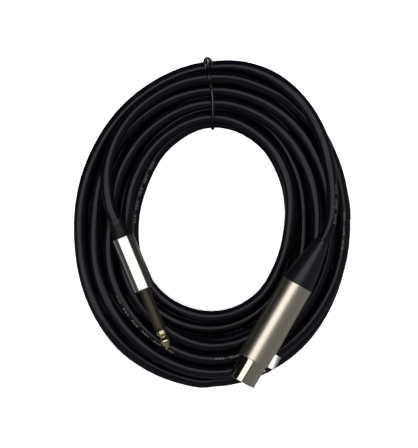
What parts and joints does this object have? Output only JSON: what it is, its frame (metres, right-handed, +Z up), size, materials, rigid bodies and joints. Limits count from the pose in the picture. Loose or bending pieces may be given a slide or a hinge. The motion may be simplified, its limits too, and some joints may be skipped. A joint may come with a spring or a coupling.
{
  "type": "coiled microphone cable",
  "caption": "Microphone cable coiled in overlapping loops and held by a twist tie, with an XLR socket connector on one end and a 6.35 mm mono jack plug on the other.",
  "frame": {"origin": "centre of the ring of loops, on the surface that the coil lies on", "axes": "+Z up from that surface; +Y towards the tie, the ring's long way; +X towards the XLR connector's boot"},
  "size_m": [0.1546, 0.1863, 0.0318],
  "materials": {
    "cable_jacket": "satin black PVC",
    "satin_nickel": "satin nickel on die-cast zinc",
    "bright_nickel": "bright nickel",
    "insert_plastic": "glass-filled nylon, black",
    "contact_metal": "plated bronze",
    "steel": "plain steel",
    "chuck_plastic": "dark grey acetal",
    "boot_plastic": "black moulded plastic",
    "boot_rubber": "black flexible PVC",
    "barrel_chrome": "polished chrome",
    "plug_nickel": "polished nickel, warm tint",
    "plug_insulator": "black acetal",
    "tip_metal": "gilt brass",
    "washer_fibre": "fibre board",
    "lug_metal": "tinned brass",
    "liner_plastic": "natural polythene",
    "core_red": "red PVC insulation",
    "core_white": "white PVC insulation",
    "core_copper": "twisted bare copper",
    "tie_plastic": "black PVC over a steel wire"
  },
  "bodies": {
    "cable": {"cable_coil": "cable_jacket", "xlr_lead": "cable_jacket", "jack_lead": "cable_jacket", "xlr_shell": "satin_nickel", "xlr_insert": "insert_plastic", "xlr_contact_1": "contact_metal", "xlr_contact_2": "contact_metal", "xlr_contact_3": "contact_metal", "xlr_latch_pin": "steel", "xlr_latch_spring": "steel", "xlr_insert_screw": "steel", "xlr_wire_shield": "core_copper", "xlr_wire_hot": "core_red", "xlr_wire_cold": "core_white", "jack_sleeve": "plug_nickel", "jack_insulator": "plug_insulator", "jack_tip": "tip_metal", "jack_washer": "washer_fibre", "jack_tip_lug": "lug_metal", "jack_ground_lug": "lug_metal", "jack_liner": "liner_plastic", "jack_wire_tip": "core_red", "jack_wire_shield": "core_copper", "tie": "tie_plastic"},
    "latch": {"xlr_latch": "bright_nickel"},
    "chuck": {"xlr_chuck": "chuck_plastic"},
    "xlr_boot": {"xlr_boot": "boot_plastic"},
    "jack_boot": {"jack_boot": "boot_rubber"},
    "jack_barrel": {"jack_barrel": "barrel_chrome"}
  },
  "joints": [
    {"name": "xlr_latch_press", "type": "hinge", "parent": "cable", "child": "latch", "pos_m": [0.03532, -0.06709, 0.02263], "axis": [0, 0, -1], "range_deg": [0, 5], "stiffness_Nm_per_rad": 0.4, "springref_deg": -3.44, "deforming": ["xlr_latch_spring"]},
    {"name": "xlr_boot_slide", "type": "slide", "parent": "cable", "child": "chuck", "axis": [0.5, 0.866, 0], "range_m": [0, 0.0035]},
    {"name": "xlr_boot_turn", "type": "hinge", "parent": "chuck", "child": "xlr_boot", "pos_m": [0.0613, -0.0105, 0.02263], "axis": [0.5, 0.866, 0], "range_deg": [0, 1260]},
    {"name": "jack_barrel_slide", "type": "slide", "parent": "cable", "child": "jack_boot", "axis": [-0.3827, 0.9239, 0], "range_m": [0, 0.0045]},
    {"name": "jack_barrel_turn", "type": "hinge", "parent": "jack_boot", "child": "jack_barrel", "pos_m": [-0.054, 0.0015, 0.01993], "axis": [-0.3827, 0.9239, 0], "range_deg": [0, 2160]}
  ],
  "couplings": [
    {"joint": "xlr_boot_turn", "follows": "xlr_boot_slide", "rad_per_m": 6283.2},
    {"joint": "jack_barrel_turn", "follows": "jack_barrel_slide", "rad_per_m": 8377.6}
  ]
}
